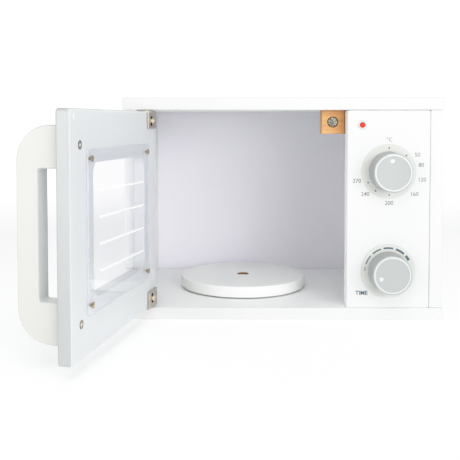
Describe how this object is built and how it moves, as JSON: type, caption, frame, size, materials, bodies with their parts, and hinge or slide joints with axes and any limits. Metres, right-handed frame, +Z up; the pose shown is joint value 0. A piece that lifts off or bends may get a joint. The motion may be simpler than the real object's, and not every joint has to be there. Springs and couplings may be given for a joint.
{
  "type": "toy microwave",
  "caption": "Painted wooden toy microwave with a hinged window door, a bow handle, a turntable, turning knobs, an indicator light and a magnet catch.",
  "frame": {"origin": "centre of the bottom board's underside", "axes": "+X to the right, +Y from the front towards the back panel, +Z up"},
  "size_m": [0.3642, 0.3777, 0.2155],
  "materials": {
    "white_paint": "board with satin white paint",
    "door_paint": "board with satin pale grey paint",
    "handle_paint": "board with satin warm white paint",
    "back_paint": "thin board with flat pale paint",
    "beech": "clear satin varnish",
    "dowel_wood": "bare",
    "steel": "satin",
    "magnet": "plated, worn",
    "nylon": "satin",
    "dial_plastic": "satin",
    "knob_plastic": "satin",
    "red_lens": "clear gloss",
    "clear_pane": "polished clear sheet"
  },
  "bodies": {
    "case_body": {"top_board": "white_paint", "bottom_board": "white_paint", "left_side_board": "white_paint", "right_side_board": "white_paint", "control_panel": "white_paint", "back_panel": "back_paint", "catch_block": "beech", "case_dowel_1": "dowel_wood", "case_dowel_2": "dowel_wood", "case_dowel_3": "dowel_wood", "case_dowel_4": "dowel_wood", "case_dowel_5": "dowel_wood", "case_dowel_6": "dowel_wood", "case_dowel_7": "dowel_wood", "case_dowel_8": "dowel_wood", "panel_dowel_1": "dowel_wood", "panel_dowel_2": "dowel_wood", "panel_dowel_3": "dowel_wood", "panel_dowel_4": "dowel_wood", "back_screw_1": "steel", "back_screw_2": "steel", "back_screw_3": "steel", "back_screw_4": "steel", "back_screw_5": "steel", "back_screw_6": "steel", "catch_screw": "steel", "hinge_pin_upper": "steel", "hinge_pin_lower": "steel", "catch_magnet": "magnet", "turntable_washer": "nylon", "turntable_spindle": "nylon", "temperature_washer": "nylon", "timer_washer": "nylon", "hinge_washer_upper": "nylon", "hinge_washer_lower": "nylon", "indicator_collar": "nylon", "temperature_dial": "dial_plastic", "timer_dial": "dial_plastic", "indicator_lens": "red_lens"},
    "door_body": {"door_panel": "door_paint", "window_pane": "clear_pane", "pane_screw_1": "steel", "pane_screw_2": "steel", "pane_screw_3": "steel", "pane_screw_4": "steel", "door_handle": "handle_paint", "handle_screw_upper": "steel", "handle_screw_lower": "steel", "hinge_bracket_upper": "steel", "hinge_bracket_lower": "steel", "hinge_screw_upper": "steel", "hinge_screw_lower": "steel", "striker": "door_paint"},
    "turntable_body": {"turntable": "white_paint"},
    "temperature_knob_body": {"temperature_knob": "knob_plastic", "temperature_spindle": "steel"},
    "timer_knob_body": {"timer_knob": "knob_plastic", "timer_spindle": "steel"}
  },
  "joints": [
    {"name": "door_hinge", "type": "hinge", "parent": "case_body", "child": "door_body", "pos_m": [-0.131, -0.089, 0.10775], "axis": [0, 0, 1], "range_deg": [-15, 101.7]},
    {"name": "turntable_spin", "type": "hinge", "parent": "case_body", "child": "turntable_body", "pos_m": [-0.038, 0.006, 0.01895], "axis": [0, 0, 1], "continuous": true},
    {"name": "temperature_turn", "type": "hinge", "parent": "case_body", "child": "temperature_knob_body", "pos_m": [0.1013, -0.105, 0.1445], "axis": [0, 1, 0], "continuous": true},
    {"name": "timer_turn", "type": "hinge", "parent": "case_body", "child": "timer_knob_body", "pos_m": [0.1013, -0.105, 0.0481], "axis": [0, 1, 0], "continuous": true}
  ]
}
